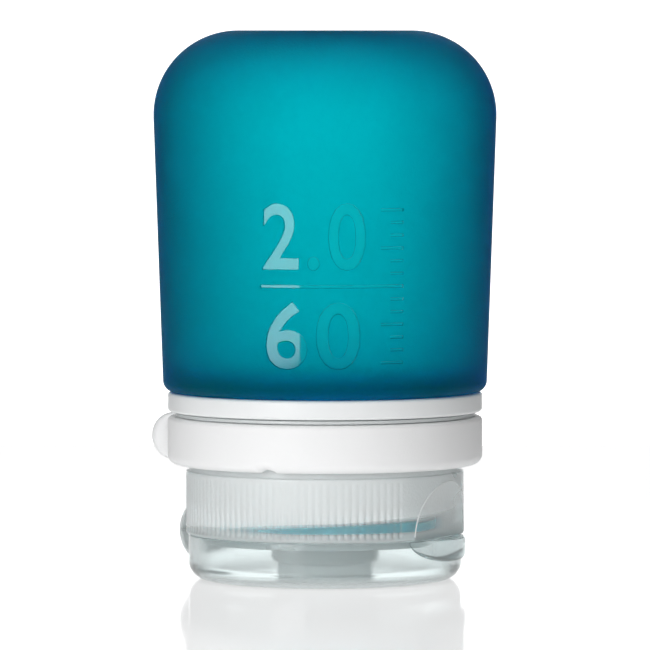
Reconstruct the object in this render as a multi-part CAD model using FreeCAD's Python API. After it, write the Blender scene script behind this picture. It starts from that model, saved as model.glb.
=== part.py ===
import FreeCAD, Part
import math
import os

Vector = FreeCAD.Vector

# Travel bottle that stands upside down on its flip lid, in millimetres with +Z up.
# The origin is the centre of the lid's flat outer face, and the front of the bottle faces -Y.

# Clearances and cutting
overrun = 1.0           # how far a cut runs past the face that it opens
soft_gap = 0.05         # silicone to the hard piece that it sits in or on
seat_gap = 0.1          # flat faces of two pieces that part
run_gap = 0.3           # curved faces that move past each other

# Directions round the bottle, in degrees from +X
thumb_angle = -28.0     # thumb scoop and ledge; the film hinge is opposite
tab_angle = 158.0       # finger tab of the loop band

# Flip lid
lid_height = 5.9
lid_wall = 1.3
lid_floor = 1.2
lid_round = 2.4         # outer edge of the flat face
lid_inner_round = 1.1
boss_radius = 6.2       # ring that presses round the spout's opening
boss_wall = 1.5
ledge_reach = 1.5       # thumb ledge, beyond the lid's wall
ledge_half_width = 7.0
ledge_drop = 2.95       # from the rim down to the lowest point of the ledge
ledge_round = 0.5

# Screw cap
cap_wall = 1.9
deck_thickness = 1.1
deck_step = 0.4         # the deck stands this far out of the skirt's lower edge
spigot_length = 0.7     # ring under the deck that centres the lid
spigot_wall = 1.2
skirt_round = 0.25
thread_room = 0.8       # radial room for the screw thread between neck and cap
groove_depth = 0.4      # seat of the loop band
groove_tail = 0.8       # part of the groove that shows below the band
rim_reach = 1.9         # lip that keeps the band on the cap
rim_height = 0.45
rib_depth = 0.3
rib_count = 120         # places for grip valleys on a full turn
rib_valley_share = 0.62  # part of the pitch that a valley takes
rib_margin = 0.4        # plain strip above and below the grip valleys
thumb_plain_angle = 29.0  # half-angles, in degrees, that stay free of valleys
hinge_plain_angle = 24.0
scoop_depth = 1.37      # thumb scoop, at the skirt's lower edge
scoop_height = 7.3

# Spout in the deck, with its valve
spout_radius = 7.0
spout_wall = 1.0
spout_length = 3.4
spout_end = 1.2
orifice_radius = 3.2
valve_flange = 1.35
valve_lip = 2.5         # width of the clamped flange
valve_skin = 0.6
valve_dome = 0.8        # rise of the slit skin into the bottle
slit_length = 5.0
slit_width = 0.12
retainer_height = 1.35
retainer_wall = 2.3

# Film hinge, a bowed strap between skirt and lid
strap_width = 9.4
strap_bulge = 1.1
strap_half_height = 2.95
strap_thickness = 0.5
strap_root = 1.2        # depth of the strap's ends inside the walls

# Sealing washer on the deck
seal_thickness = 1.4
seal_width = 3.4

# Neck collar
neck_length = 13.7
neck_wall = 1.3
collar_reach = 5.1      # flange beyond the neck tube
collar_height = 2.45
collar_round = 0.4
rim_gap = 0.15          # between the cap's lip and the flange

# Loop band
band_height = 6.2
band_wall = 2.5
band_top_round = 0.5
band_low_round = 1.3
band_inner_round = 0.3
tab_reach = 4.0
tab_thickness = 2.6
tab_root_round = 3.0
notch_width = 2.6
notch_height = 0.4

# Silicone body
mouth_radius = 12.4
sleeve_wall = 1.65      # part of the body that lines the neck
bead_reach = 0.65
bead_length = 1.6
bead_inset = 2.6        # from the mouth to the bead
body_length = 47.0
body_wall = 1.8
shoulder_overhang = 0.55
shoulder_round = 1.5
body_flare = 1.65       # how much wider the closed end is than the shoulder
end_round = 11.0

# Radii, from the mouth outwards
sleeve_radius = mouth_radius + sleeve_wall
bead_radius = sleeve_radius + bead_reach
neck_bore = sleeve_radius + soft_gap
neck_radius = neck_bore + neck_wall
collar_radius = neck_radius + collar_reach
shoulder_radius = collar_radius + shoulder_overhang
end_radius = shoulder_radius + body_flare
cap_bore = neck_radius + thread_room
skirt_radius = cap_bore + cap_wall
groove_radius = skirt_radius - groove_depth
rim_radius = groove_radius + rim_reach
band_bore = groove_radius + run_gap
band_radius = band_bore + band_wall
lid_radius = skirt_radius - run_gap
lid_bore = lid_radius - lid_wall
spigot_radius = lid_bore - run_gap
pocket_radius = spout_radius - spout_wall
seal_radius = cap_bore - run_gap
strap_apex = skirt_radius + strap_bulge

# Heights, from the lid's flat face upwards
skirt_under = lid_height + seat_gap
deck_under = skirt_under - deck_step
deck_top = deck_under + deck_thickness
spigot_under = deck_under - spigot_length
spout_tip = deck_under - spout_length
pocket_floor = spout_tip + spout_end
valve_under = pocket_floor + soft_gap
valve_top = valve_under + valve_flange
retainer_under = valve_top + soft_gap
seal_under = deck_top + soft_gap
seal_top = seal_under + seal_thickness
neck_end = seal_top + soft_gap
collar_under = neck_end + neck_length
collar_top = collar_under + collar_height
rim_top = collar_under - rim_gap
rim_under = rim_top - rim_height
band_top = rim_under - seat_gap
band_under = band_top - band_height
groove_under = band_under - groove_tail
rib_under = skirt_under + rib_margin
rib_top = groove_under - rib_margin
bead_under = neck_end + bead_inset
bead_top = bead_under + bead_length
body_under = collar_top + soft_gap
body_top = body_under + body_length
parting = (lid_height + skirt_under) / 2

base = Vector(0, 0, 0)
up = Vector(0, 0, 1)
same_point = 1e-6


def rounded_wire(corners):
    """Closed outline in the XZ plane through corners (x, z, rounding), with tangent arcs at the rounded ones."""
    arcs = []
    for index, (x, z, rounding) in enumerate(corners):
        here = Vector(x, 0, z)
        before = corners[index - 1]
        after = corners[(index + 1) % len(corners)]
        back = (Vector(before[0], 0, before[1]) - here).normalize()
        ahead = (Vector(after[0], 0, after[1]) - here).normalize()
        half_angle = back.getAngle(ahead) / 2
        reach = rounding / math.tan(half_angle)
        depth = rounding / math.sin(half_angle) - rounding
        middle = here + (back + ahead).normalize() * depth
        arcs.append((here + back * reach, middle, here + ahead * reach, rounding))
    edges = []
    for index, (start, middle, end, rounding) in enumerate(arcs):
        last_end = arcs[index - 1][2]
        if not last_end.isEqual(start, same_point):
            edges.append(Part.LineSegment(last_end, start).toShape())
        if rounding > 0:
            edges.append(Part.Arc(start, middle, end).toShape())
    return Part.Wire(edges)


def turned(corners):
    """Solid of revolution about Z from an outline of (radius, height, rounding) corners."""
    return Part.Face(rounded_wire(corners)).revolve(base, up, 360)


def ring(inner_radius, outer_radius, low, high):
    """Plain square-edged ring."""
    return turned([(inner_radius, low, 0), (outer_radius, low, 0), (outer_radius, high, 0), (inner_radius, high, 0)])


def block(low_x, high_x, width, low_z, high_z):
    """Box that is centred on the XZ plane."""
    return Part.makeBox(high_x - low_x, width, high_z - low_z, Vector(low_x, -width / 2, low_z))


def bar(radius, length, x, z):
    """Cylinder along Y, centred on the XZ plane."""
    return Part.makeCylinder(radius, length, Vector(x, -length / 2, z), Vector(0, 1, 0))


def aimed(shape, angle):
    """Copy of a shape that was drawn towards +X, turned about Z to its real direction."""
    turned_copy = shape.copy()
    turned_copy.rotate(base, up, angle)
    return turned_copy


def chord_radius(half_chord, height):
    """Radius of the arc that rises by height over a chord."""
    return (half_chord ** 2 + height ** 2) / (2 * height)


def make_silicone_body():
    """Squeeze body: a flared cup with a sleeve that lines the collar and locks in it with a bead."""
    end_inside = end_radius - body_wall
    shoulder_inside = shoulder_radius - body_wall
    return turned([
        (mouth_radius, neck_end, 0),
        (sleeve_radius, neck_end, 0),
        (sleeve_radius, bead_under, 0),
        (bead_radius, bead_under, 0),
        (bead_radius, bead_top, 0),
        (sleeve_radius, bead_top, 0),
        (sleeve_radius, body_under, 0),
        (shoulder_radius, body_under, shoulder_round),
        (end_radius, body_top, end_round),
        (0, body_top, 0),
        (0, body_top - body_wall, 0),
        (end_inside, body_top - body_wall, end_round - body_wall),
        (shoulder_inside, body_under + body_wall, shoulder_round),
        (mouth_radius, body_under + body_wall, sleeve_wall),
    ])


def make_neck_collar():
    """Rigid threaded neck with a flange under the silicone shoulder and a groove for the bead."""
    groove = bead_radius + soft_gap
    return turned([
        (neck_bore, neck_end, 0),
        (neck_radius, neck_end, collar_round),
        (neck_radius, collar_under, 0),
        (collar_radius, collar_under, collar_round),
        (collar_radius, collar_top, collar_round),
        (neck_bore, collar_top, 0),
        (neck_bore, bead_top + soft_gap, 0),
        (groove, bead_top + soft_gap, 0),
        (groove, bead_under - soft_gap, 0),
        (neck_bore, bead_under - soft_gap, 0),
    ])


def grip_section():
    """Length of skirt with fine upright valleys, left plain round the thumb scoop and the film hinge."""
    pitch = 360 / rib_count
    half_valley = pitch * rib_valley_share / 2
    floor_radius = skirt_radius - rib_depth

    def place(radius, degrees):
        angle = math.radians(degrees)
        return Vector(radius * math.cos(angle), radius * math.sin(angle), rib_under)

    first = math.ceil(thumb_plain_angle / pitch)
    last = math.floor((180 - hinge_plain_angle) / pitch)
    valleys = [step * pitch for step in range(first, last + 1)]
    valleys += [360 - degrees for degrees in reversed(valleys)]
    edges = []
    for index, middle in enumerate(valleys):
        start = place(skirt_radius, middle - half_valley)
        end = place(skirt_radius, middle + half_valley)
        edges.append(Part.Arc(start, place(floor_radius, middle), end).toShape())
        following = valleys[(index + 1) % len(valleys)] + 360 * (index + 1 == len(valleys))
        land_start = middle + half_valley
        land_end = following - half_valley
        land_middle = place(skirt_radius, (land_start + land_end) / 2)
        edges.append(Part.Arc(end, land_middle, place(skirt_radius, land_end)).toShape())
    return Part.Face(Part.Wire(edges)).extrude(Vector(0, 0, rib_top - rib_under))


def hinge_leaf(low, high):
    """Part of the bowed hinge strap between two heights, drawn towards +X."""
    bow = chord_radius(strap_half_height, strap_bulge)
    centre = strap_apex - bow
    strap = bar(bow, strap_width, centre, parting).cut(
        bar(bow - strap_thickness, strap_width + overrun, centre, parting))
    window = block(skirt_radius - strap_root, strap_apex + overrun, strap_width + overrun, low, high)
    return aimed(strap.common(window), 180)


def make_screw_cap():
    """Clear cap: gripped skirt, groove and lip for the band, deck with spout, scoop and upper hinge leaf."""
    core_radius = skirt_radius - rib_depth
    skirt = turned([
        (0, spout_tip, 0),
        (spout_radius, spout_tip, spout_wall / 2),
        (spout_radius, deck_under, 0),
        (spigot_radius - spigot_wall, deck_under, 0),
        (spigot_radius - spigot_wall, spigot_under, 0),
        (spigot_radius, spigot_under, skirt_round),
        (spigot_radius, skirt_under, 0),
        (skirt_radius, skirt_under, skirt_round),
        (skirt_radius, rib_under, 0),
        (core_radius - skirt_round, rib_under, 0),
        (core_radius - skirt_round, rib_top, 0),
        (skirt_radius, rib_top, 0),
        (skirt_radius, groove_under, skirt_round),
        (groove_radius, groove_under, 0),
        (groove_radius, rim_under, 0),
        (rim_radius, rim_under, 0),
        (rim_radius, rim_top, 0),
        (0, rim_top, 0),
    ])
    cavity = turned([
        (0, spout_tip - overrun, 0),
        (orifice_radius, spout_tip - overrun, 0),
        (orifice_radius, pocket_floor, 0),
        (pocket_radius, pocket_floor, 0),
        (pocket_radius, deck_top, 0),
        (cap_bore, deck_top, 0),
        (cap_bore, rim_top + overrun, 0),
        (0, rim_top + overrun, 0),
    ])
    scoop_radius = chord_radius(scoop_height, scoop_depth)
    scoop = bar(scoop_radius, 2 * skirt_radius, skirt_radius - scoop_depth + scoop_radius, skirt_under)
    leaf = hinge_leaf(parting + seat_gap / 2, parting + 2 * strap_half_height)
    solid = skirt.fuse(grip_section()).fuse(leaf).cut(cavity).cut(scoop)
    return aimed(solid.removeSplitter(), thumb_angle)


def thumb_ledge():
    """Crescent ledge under the lid's rim, drawn towards +X, with its lower outer edge rounded."""
    wall_sagitta = lid_radius - math.sqrt(lid_radius ** 2 - ledge_half_width ** 2)
    plan_radius = chord_radius(ledge_half_width, wall_sagitta + ledge_reach)
    plan_centre = lid_radius + ledge_reach - plan_radius
    arc_radius = chord_radius(ledge_half_width, ledge_drop)
    arc_centre = lid_height - ledge_drop + arc_radius
    post = Part.makeCylinder(plan_radius, ledge_drop, Vector(plan_centre, 0, lid_height - ledge_drop), up)
    trough = Part.makeCylinder(arc_radius, 2 * lid_radius, Vector(0, 0, arc_centre), Vector(1, 0, 0))
    outside = block(lid_bore * math.cos(math.asin(ledge_half_width / lid_bore)), 2 * lid_radius,
                    2 * lid_radius, lid_height - ledge_drop, lid_height)
    ledge = post.common(trough).common(outside)
    lip = []
    for edge in ledge.Edges:
        middle = edge.valueAt((edge.FirstParameter + edge.LastParameter) / 2)
        from_post = math.hypot(middle.x - plan_centre, middle.y) - plan_radius
        from_trough = math.hypot(middle.y, middle.z - arc_centre) - arc_radius
        if abs(from_post) < same_point and abs(from_trough) < same_point:
            lip.append(edge)
    return ledge.makeFillet(ledge_round, lip)


def make_flip_lid():
    """Clear shallow lid with a thumb ledge, a ring that closes on the spout and the lower hinge leaf."""
    shell = turned([
        (0, 0, 0),
        (lid_radius, 0, lid_round),
        (lid_radius, lid_height, 0),
        (0, lid_height, 0),
    ])
    cavity = turned([
        (0, lid_floor, 0),
        (lid_bore, lid_floor, lid_inner_round),
        (lid_bore, lid_height + overrun, 0),
        (0, lid_height + overrun, 0),
    ])
    boss = ring(boss_radius - boss_wall, boss_radius, lid_floor, spout_tip - seat_gap)
    leaf = hinge_leaf(parting - 2 * strap_half_height, parting - seat_gap / 2)
    solid = shell.fuse(thumb_ledge()).cut(cavity).fuse(leaf).fuse(boss)
    return aimed(solid.removeSplitter(), thumb_angle)


def make_slit_valve():
    """Silicone dispensing valve: a clamped flange round a thin domed skin with a cross slit."""
    flange_radius = pocket_radius - soft_gap
    skin_radius = flange_radius - valve_lip
    dome_radius = chord_radius(skin_radius, valve_dome)
    dome_centre = valve_under + valve_dome - dome_radius
    flange = ring(skin_radius, flange_radius, valve_under, valve_top)
    ball = Part.makeSphere(dome_radius + valve_skin, Vector(0, 0, dome_centre))
    hollow = Part.makeSphere(dome_radius, Vector(0, 0, dome_centre))
    plug = Part.makeCylinder(skin_radius + soft_gap, valve_top, Vector(0, 0, valve_under), up)
    valve = flange.fuse(ball.cut(hollow).common(plug))
    slit = block(-slit_length / 2, slit_length / 2, slit_width, valve_under, valve_under + valve_top)
    return aimed(valve.cut(slit).cut(aimed(slit, 90)), thumb_angle)


def make_valve_retainer():
    """Ring pressed into the spout behind the valve."""
    outer = pocket_radius - soft_gap
    return ring(outer - retainer_wall, outer, retainer_under, retainer_under + retainer_height)


def make_cap_seal():
    """Flat silicone washer between the deck and the end of the neck."""
    return ring(seal_radius - seal_width, seal_radius, seal_under, seal_top)


def finger_tab():
    """Finger tab of the loop band, drawn towards +X, with flared roots and a fully rounded end."""
    half = tab_thickness / 2
    tip = band_radius + tab_reach
    inside = (band_bore + band_radius) / 2
    root_y = half + tab_root_round
    root_x = math.sqrt((band_radius + tab_root_round) ** 2 - root_y ** 2)
    touch = Vector(root_x, root_y, 0) * (band_radius / (band_radius + tab_root_round))
    inward = Vector(touch.x - root_x, touch.y - root_y, 0).normalize()
    bend = Vector(root_x, root_y, 0) + (inward + Vector(0, -1, 0)).normalize() * tab_root_round
    side = Vector(root_x, half, 0)
    corner = Vector(tip - half, half, 0)
    heel = Vector(inside, touch.y, 0)

    def mirrored(point):
        return Vector(point.x, -point.y, 0)

    edges = [
        Part.LineSegment(heel, touch),
        Part.Arc(touch, bend, side),
        Part.LineSegment(side, corner),
        Part.Arc(corner, Vector(tip, 0, 0), mirrored(corner)),
        Part.LineSegment(mirrored(corner), mirrored(side)),
        Part.Arc(mirrored(side), mirrored(bend), mirrored(touch)),
        Part.LineSegment(mirrored(touch), mirrored(heel)),
        Part.LineSegment(mirrored(heel), heel),
    ]
    plan = Part.Face(Part.Wire([edge.toShape() for edge in edges]))
    plan.translate(Vector(0, 0, band_under))
    slab = plan.extrude(Vector(0, 0, band_height))
    end_radius_z = band_height / 2
    middle_z = band_under + end_radius_z
    depth = 4 * root_y
    end = bar(end_radius_z, depth, tip - end_radius_z, middle_z)
    body = block(0, tip - end_radius_z, depth, band_under, band_top)
    return slab.common(end.fuse(body))


def make_loop_band():
    """Soft ring round the cap, with a finger tab and two small arches in its lower edge."""
    band = turned([
        (band_bore, band_under, band_inner_round),
        (band_radius, band_under, band_low_round),
        (band_radius, band_top, band_top_round),
        (band_bore, band_top, band_inner_round),
    ])
    band = band.fuse(finger_tab())
    arch = chord_radius(notch_width / 2, notch_height)
    cutter = Part.makeCylinder(arch, 2 * band_radius, Vector(0, -band_radius, band_under + notch_height - arch),
                               Vector(0, 1, 0))
    return aimed(band.cut(cutter).removeSplitter(), tab_angle)


pieces = {
    "silicone_body": make_silicone_body(),
    "neck_collar": make_neck_collar(),
    "cap_seal": make_cap_seal(),
    "screw_cap": make_screw_cap(),
    "slit_valve": make_slit_valve(),
    "valve_retainer": make_valve_retainer(),
    "flip_lid": make_flip_lid(),
    "loop_band": make_loop_band(),
}

os.makedirs("parts", exist_ok=True)
for name, shape in pieces.items():
    shape.exportStep("parts/" + name + ".step")
    box = shape.BoundBox
    print(name, len(shape.Solids), "solid,", round(shape.Volume / 1000, 3), "cm3, valid", shape.isValid(),
          "z", round(box.ZMin, 2), "to", round(box.ZMax, 2), "r", round(max(box.XMax, -box.XMin), 2))
print("hinge axis at", aimed(Part.Vertex(-strap_apex, 0, parting), thumb_angle).Point)
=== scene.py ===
from math import (acos, asin, atan2, ceil, copysign, cos, degrees,
                  hypot, pi, radians, remainder, sin, sqrt, tan)

import bmesh
import bpy
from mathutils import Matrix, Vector


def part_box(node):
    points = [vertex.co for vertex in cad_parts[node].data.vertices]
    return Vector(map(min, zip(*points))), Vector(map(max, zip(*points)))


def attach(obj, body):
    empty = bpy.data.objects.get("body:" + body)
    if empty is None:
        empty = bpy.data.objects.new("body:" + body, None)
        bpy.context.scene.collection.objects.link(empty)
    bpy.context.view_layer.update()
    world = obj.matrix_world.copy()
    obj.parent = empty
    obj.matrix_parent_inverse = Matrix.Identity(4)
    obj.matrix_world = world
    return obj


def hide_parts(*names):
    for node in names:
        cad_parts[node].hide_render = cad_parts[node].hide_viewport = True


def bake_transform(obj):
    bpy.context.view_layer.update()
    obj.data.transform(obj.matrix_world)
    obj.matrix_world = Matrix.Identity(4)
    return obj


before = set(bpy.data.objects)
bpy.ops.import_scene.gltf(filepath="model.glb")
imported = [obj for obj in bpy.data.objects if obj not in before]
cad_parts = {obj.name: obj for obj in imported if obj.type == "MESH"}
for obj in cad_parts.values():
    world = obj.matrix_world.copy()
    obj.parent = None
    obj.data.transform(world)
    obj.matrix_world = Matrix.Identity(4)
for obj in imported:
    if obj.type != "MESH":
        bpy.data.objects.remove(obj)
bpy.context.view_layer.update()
mm = 0.001  # sizes below are in millimetres, the scene is in metres
thumbTurn = radians(-28)  # thumb scoop and ledge, from +X; the film hinge is opposite
hingeTurn = thumbTurn + pi
tabTurn = radians(158)  # finger tab of the loop band


def heights(node):
    low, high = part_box(node)
    return low.z / mm, high.z / mm


bodyMouth, bodyEnd = heights("silicone_body")
collarLow, collarHigh = heights("neck_collar")
sealLow, sealHigh = heights("cap_seal")
spoutTip, capHigh = heights("screw_cap")
valveLow = heights("slit_valve")[0]
retainerLow, retainerHigh = heights("valve_retainer")
lidLow, lidHigh = heights("flip_lid")
bandLow, bandHigh = heights("loop_band")


# Mesh helpers

def newObject(name, data):
    made = bpy.data.objects.new(name, data)
    bpy.context.scene.collection.objects.link(made)
    return made


def plainMesh(made):  # what modifiers or text give, as a mesh of its own
    graph = bpy.context.evaluated_depsgraph_get()
    final = made.evaluated_get(graph)
    return bpy.data.meshes.new_from_object(final, preserve_all_data_layers=True, depsgraph=graph)


def settle(made):  # the modifiers' result becomes the object's own mesh
    result = plainMesh(made)
    made.modifiers.clear()
    made.data = result


def shade(made, sharpAngle=32):
    made.data.shade_smooth()
    made.data.set_sharp_from_angle(angle=radians(sharpAngle))


def fromMesh(name, work, material):
    data = bpy.data.meshes.new(name)
    work.to_mesh(data)
    work.free()
    data.materials.append(material)
    return newObject(name, data)


def rounded(corners, arcStep=8.0, longest=None):
    # points along a closed outline of (x, y, rounding) corners, with tangent arcs
    points = []
    for index, (x, y, rounding) in enumerate(corners):
        here = Vector((x, y))
        back = (Vector(corners[index - 1][:2]) - here).normalized()
        ahead = (Vector(corners[(index + 1) % len(corners)][:2]) - here).normalized()
        if rounding <= 0:
            points.append(here)
            continue
        halfAngle = back.angle(ahead) / 2
        reach = rounding / tan(halfAngle)
        centre = here + (back + ahead).normalized() * (rounding / sin(halfAngle))
        arm = here + back * reach - centre
        sweep = copysign(pi - 2 * halfAngle, -back.x * ahead.y + back.y * ahead.x)
        steps = max(2, ceil(degrees(abs(sweep)) / arcStep))
        for step in range(steps + 1):
            turn = sweep * step / steps
            points.append(centre + Vector((arm.x * cos(turn) - arm.y * sin(turn),
                                           arm.x * sin(turn) + arm.y * cos(turn))))
    if longest is None:
        return points
    dense = []
    for index, point in enumerate(points):
        following = points[(index + 1) % len(points)]
        pieces = max(1, ceil((following - point).length / longest))
        if point.x < 1e-6 and following.x < 1e-6:
            pieces = 1  # nothing to divide on the axis
        dense += [point.lerp(following, part / pieces) for part in range(pieces)]
    return dense


def polar(radius, turn, height):  # millimetres round the axis to metres
    return radius * cos(turn) * mm, radius * sin(turn) * mm, height * mm


def skin(work, rings):
    # quads from each ring of points to the next, or triangles where a ring is one point
    for ring, following in zip(rings, rings[1:]):
        count = max(len(ring), len(following))
        if count == 1:
            continue
        for k in range(count):
            n = (k + 1) % count
            corners = [ring[k % len(ring)], ring[n % len(ring)]]
            corners += [following[n % len(following)], following[k % len(following)]]
            work.faces.new(list(dict.fromkeys(corners)))


def cappedSkin(work, rings):
    skin(work, rings)
    work.faces.new(rings[0])
    work.faces.new(rings[-1])
    bmesh.ops.recalc_face_normals(work, faces=work.faces)


def lathe(points, segments, reshape=None):
    # closed solid of revolution; reshape(radius, turn, height) may pull a point in or out
    work = bmesh.new()
    rings = []
    for radius, height in points:
        if radius < 1e-6:
            rings.append([work.verts.new((0, 0, height * mm))])
            continue
        ring = []
        for k in range(segments):
            turn = 2 * pi * k / segments
            r = reshape(radius, turn, height) if reshape else radius
            ring.append(work.verts.new(polar(r, turn, height)))
        rings.append(ring)
    skin(work, rings + rings[:1])
    return work


def chordRadius(halfChord, rise):
    return (halfChord ** 2 + rise ** 2) / (2 * rise)


def smoothStep(value):
    value = min(1.0, max(0.0, value))
    return value * value * (3 - 2 * value)


def combine(made, tool, operation):
    cut = made.modifiers.new(operation.lower(), "BOOLEAN")
    cut.operation = operation
    cut.solver = "EXACT"
    cut.object = tool
    settle(made)
    toolData = tool.data
    bpy.data.objects.remove(tool)
    bpy.data.meshes.remove(toolData)


def setInputs(node, values):
    for label, value in values.items():
        node.inputs[label].default_value = value


def connect(tree, *pairs):
    for source, target in pairs:
        tree.links.new(source, target)


def newTree(name, sizes):
    # Geometry Nodes tree with a geometry, one named input for each size and a material;
    # gives the sockets of those inputs and of the tree's result
    tree = bpy.data.node_groups.new(name, "GeometryNodeTree")
    tree.interface.new_socket("Geometry", in_out="INPUT", socket_type="NodeSocketGeometry")
    for label, value in sizes.items():
        kind = "NodeSocketInt" if isinstance(value, int) else "NodeSocketFloat"
        tree.interface.new_socket(label, in_out="INPUT", socket_type=kind)
    tree.interface.new_socket("Material", in_out="INPUT", socket_type="NodeSocketMaterial")
    tree.interface.new_socket("Geometry", in_out="OUTPUT", socket_type="NodeSocketGeometry")
    return tree, tree.nodes.new("NodeGroupInput").outputs, tree.nodes.new("NodeGroupOutput").inputs


def runTree(made, tree, sizes, material):
    modifier = made.modifiers.new(tree.name, "NODES")
    modifier.node_group = tree
    for item in tree.interface.items_tree:
        if item.in_out == "INPUT" and item.name in sizes:
            modifier[item.identifier] = sizes[item.name]
        elif item.in_out == "INPUT" and item.name == "Material":
            modifier[item.identifier] = material
    settle(made)


def endTree(tree, entry, result, geometry):
    # every tree ends in Realize Instances and Set Material
    realize = tree.nodes.new("GeometryNodeRealizeInstances")
    paint = tree.nodes.new("GeometryNodeSetMaterial")
    connect(
        tree,
        (geometry, realize.inputs["Geometry"]),
        (realize.outputs["Geometry"], paint.inputs["Geometry"]),
        (entry["Material"], paint.inputs["Material"]),
        (paint.outputs["Geometry"], result["Geometry"]),
    )


def feed(tree, node, values):
    # each value is a number or the socket that gives it
    for socket, value in zip(node.inputs, values):
        if isinstance(value, (int, float)):
            socket.default_value = value
        else:
            tree.links.new(value, socket)
    return node.outputs[0]


def mathNode(tree, operation, *values):
    made = tree.nodes.new("ShaderNodeMath")
    made.operation = operation
    return feed(tree, made, values)


def vectorNode(tree, x=0.0, y=0.0, z=0.0):
    return feed(tree, tree.nodes.new("ShaderNodeCombineXYZ"), (x, y, z))


# Materials

def newMaterial(name):
    material = bpy.data.materials.new(name)
    material.use_nodes = True
    tree = material.node_tree
    return material, tree, tree.nodes["Principled BSDF"]


def objectNoise(tree, scale, detail):
    place = tree.nodes.new("ShaderNodeTexCoord")
    noise = tree.nodes.new("ShaderNodeTexNoise")
    setInputs(noise, {"Scale": scale, "Detail": detail})
    tree.links.new(place.outputs["Object"], noise.inputs["Vector"])
    return noise.outputs["Fac"]


def mapped(tree, value, fromLow, fromHigh, toLow, toHigh):
    change = tree.nodes.new("ShaderNodeMapRange")
    setInputs(change, {"From Min": fromLow, "From Max": fromHigh, "To Min": toLow, "To Max": toHigh})
    tree.links.new(value, change.inputs["Value"])
    return change.outputs["Result"]


def addColors(tree, bsdf, factor, first, second):
    blend = tree.nodes.new("ShaderNodeMix")
    blend.data_type = "RGBA"
    setInputs(blend, {"A": (*first, 1), "B": (*second, 1)})
    tree.links.new(factor, blend.inputs["Factor"])
    tree.links.new(blend.outputs["Result"], bsdf.inputs["Base Color"])


def addBump(tree, bsdf, height, distance, strength=1.0):
    bump = tree.nodes.new("ShaderNodeBump")
    setInputs(bump, {"Strength": strength, "Distance": distance})
    tree.links.new(height, bump.inputs["Height"])
    tree.links.new(bump.outputs["Normal"], bsdf.inputs["Normal"])


def addAbsorption(tree, color, density):
    absorb = tree.nodes.new("ShaderNodeVolumeAbsorption")
    setInputs(absorb, {"Color": (*color, 1), "Density": density})
    tree.links.new(absorb.outputs["Volume"], tree.nodes["Material Output"].inputs["Volume"])


def markedValue(tree, name):
    mark = tree.nodes.new("ShaderNodeAttribute")
    mark.attribute_name = name
    return mark.outputs["Fac"]


def markFrost(made, frostAt):
    # stores how milky each point is, for clearPlastic
    frost = made.data.attributes.new("frost", "FLOAT", "POINT")
    for v in made.data.vertices:
        frost.data[v.index].value = frostAt(v)


def tealSilicone(name):
    # translucent matte silicone; figures marked "polish" are moulded glossy
    material, tree, bsdf = newMaterial(name)
    place = tree.nodes.new("ShaderNodeTexCoord")
    split = tree.nodes.new("ShaderNodeSeparateXYZ")
    tree.links.new(place.outputs["Object"], split.inputs[0])
    # painted shade: the base colour is bluer towards the foot and the top end
    nearFoot = mapped(tree, split.outputs["Z"], 26.3 * mm, 28.4 * mm, 1.0, 0.0)
    nearEnd = mapped(tree, split.outputs["Z"], 68.5 * mm, 71.0 * mm, 0.0, 0.6)
    thick = mathNode(tree, "MAXIMUM", nearFoot, nearEnd)
    addColors(tree, bsdf, thick, (0.0, 1.0, 0.80), (0.0, 1.0, 1.0))  # painted shade: the base colour turns bluer at the foot and the top end, for the deep blue that light takes through the thick silicone there
    setInputs(bsdf, {"IOR": 1.24, "Specular Tint": (0.0, 0.9, 1.0, 1), "Transmission Weight": 0.94})
    setInputs(bsdf, {"Coat Roughness": 0.06, "Coat IOR": 1.5})
    grain = objectNoise(tree, 3200, 2.0)
    cloud = objectNoise(tree, 160, 3.0)
    matte = mapped(tree, cloud, 0.3, 0.7, 0.68, 0.76)
    polish = markedValue(tree, "polish")
    dull = mathNode(tree, "SUBTRACT", 1.0, polish)
    rough = mathNode(tree, "MULTIPLY_ADD", matte, dull, mathNode(tree, "MULTIPLY", polish, 0.62))
    tree.links.new(rough, bsdf.inputs["Roughness"])
    tree.links.new(polish, bsdf.inputs["Coat Weight"])
    addBump(tree, bsdf, mathNode(tree, "MULTIPLY", grain, dull), 0.00006)
    addAbsorption(tree, (0.0, 0.795, 0.920), 1500)
    return material


def tealRubber(name):
    # denser teal silicone of the washer
    material, tree, bsdf = newMaterial(name)
    mottle = objectNoise(tree, 300, 3.0)
    addColors(tree, bsdf, mottle, (0.03, 0.70, 0.87), (0.05, 0.78, 0.94))
    tree.links.new(mapped(tree, mottle, 0.3, 0.7, 0.40, 0.50), bsdf.inputs["Roughness"])
    setInputs(bsdf, {
        "Subsurface Weight": 0.4,
        "Subsurface Radius": (0.2, 0.8, 1.0),
        "Subsurface Scale": 0.001,
    })
    addBump(tree, bsdf, objectNoise(tree, 3200, 2.0), 0.00005)
    return material


def whitePlastic(name, color, roughness, glow):
    # satin white moulding with faint mottling and a fine spark-eroded grain
    material, tree, bsdf = newMaterial(name)
    mottle = objectNoise(tree, 220, 3.0)
    addColors(tree, bsdf, mottle, [c * 0.985 for c in color], color)
    rough = mapped(tree, mottle, 0.3, 0.7, roughness - 0.05, roughness + 0.05)
    tree.links.new(rough, bsdf.inputs["Roughness"])
    setInputs(bsdf, {
        "Subsurface Weight": glow,
        "Subsurface Radius": (1.0, 1.0, 1.0),
        "Subsurface Scale": 0.0007,
    })
    addBump(tree, bsdf, objectNoise(tree, 4200, 2.0), 0.00003, 0.6)
    return material


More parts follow.
